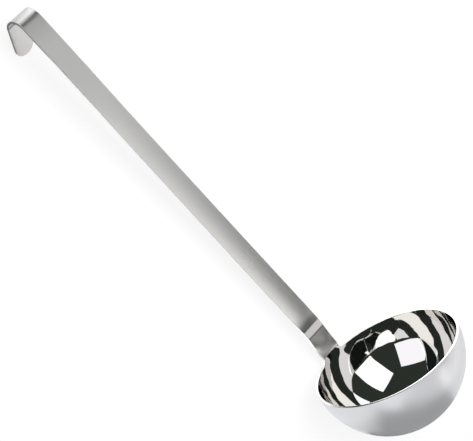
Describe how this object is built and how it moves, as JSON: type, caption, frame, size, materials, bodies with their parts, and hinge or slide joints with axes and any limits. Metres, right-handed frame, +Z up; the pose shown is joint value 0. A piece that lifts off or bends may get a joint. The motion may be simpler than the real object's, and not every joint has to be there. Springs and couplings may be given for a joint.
{
  "type": "soup ladle",
  "caption": "Stainless steel soup ladle: half-sphere bowl, flat strip handle rising from the rim, and a hook bent back at the top for hanging.",
  "frame": {"origin": "under the middle of the bounding box, on the level that the ladle lies on", "axes": "+X along the ladle towards its bowl, +Z up as it lies on its back with the bowl's belly and the hook's tongue on the table, +Y to the left of +X"},
  "size_m": [0.3682, 0.1, 0.0951],
  "materials": {
    "bowl_steel": "mirror polished inside and on the lip, fine satin outside",
    "weld_steel": "weld ground flush and dressed to a satin",
    "handle_steel": "satin, brushed along the strip"
  },
  "bodies": {
    "root": {"bowl": "bowl_steel", "weld_seam": "weld_steel", "handle": "handle_steel"}
  },
  "joints": []
}
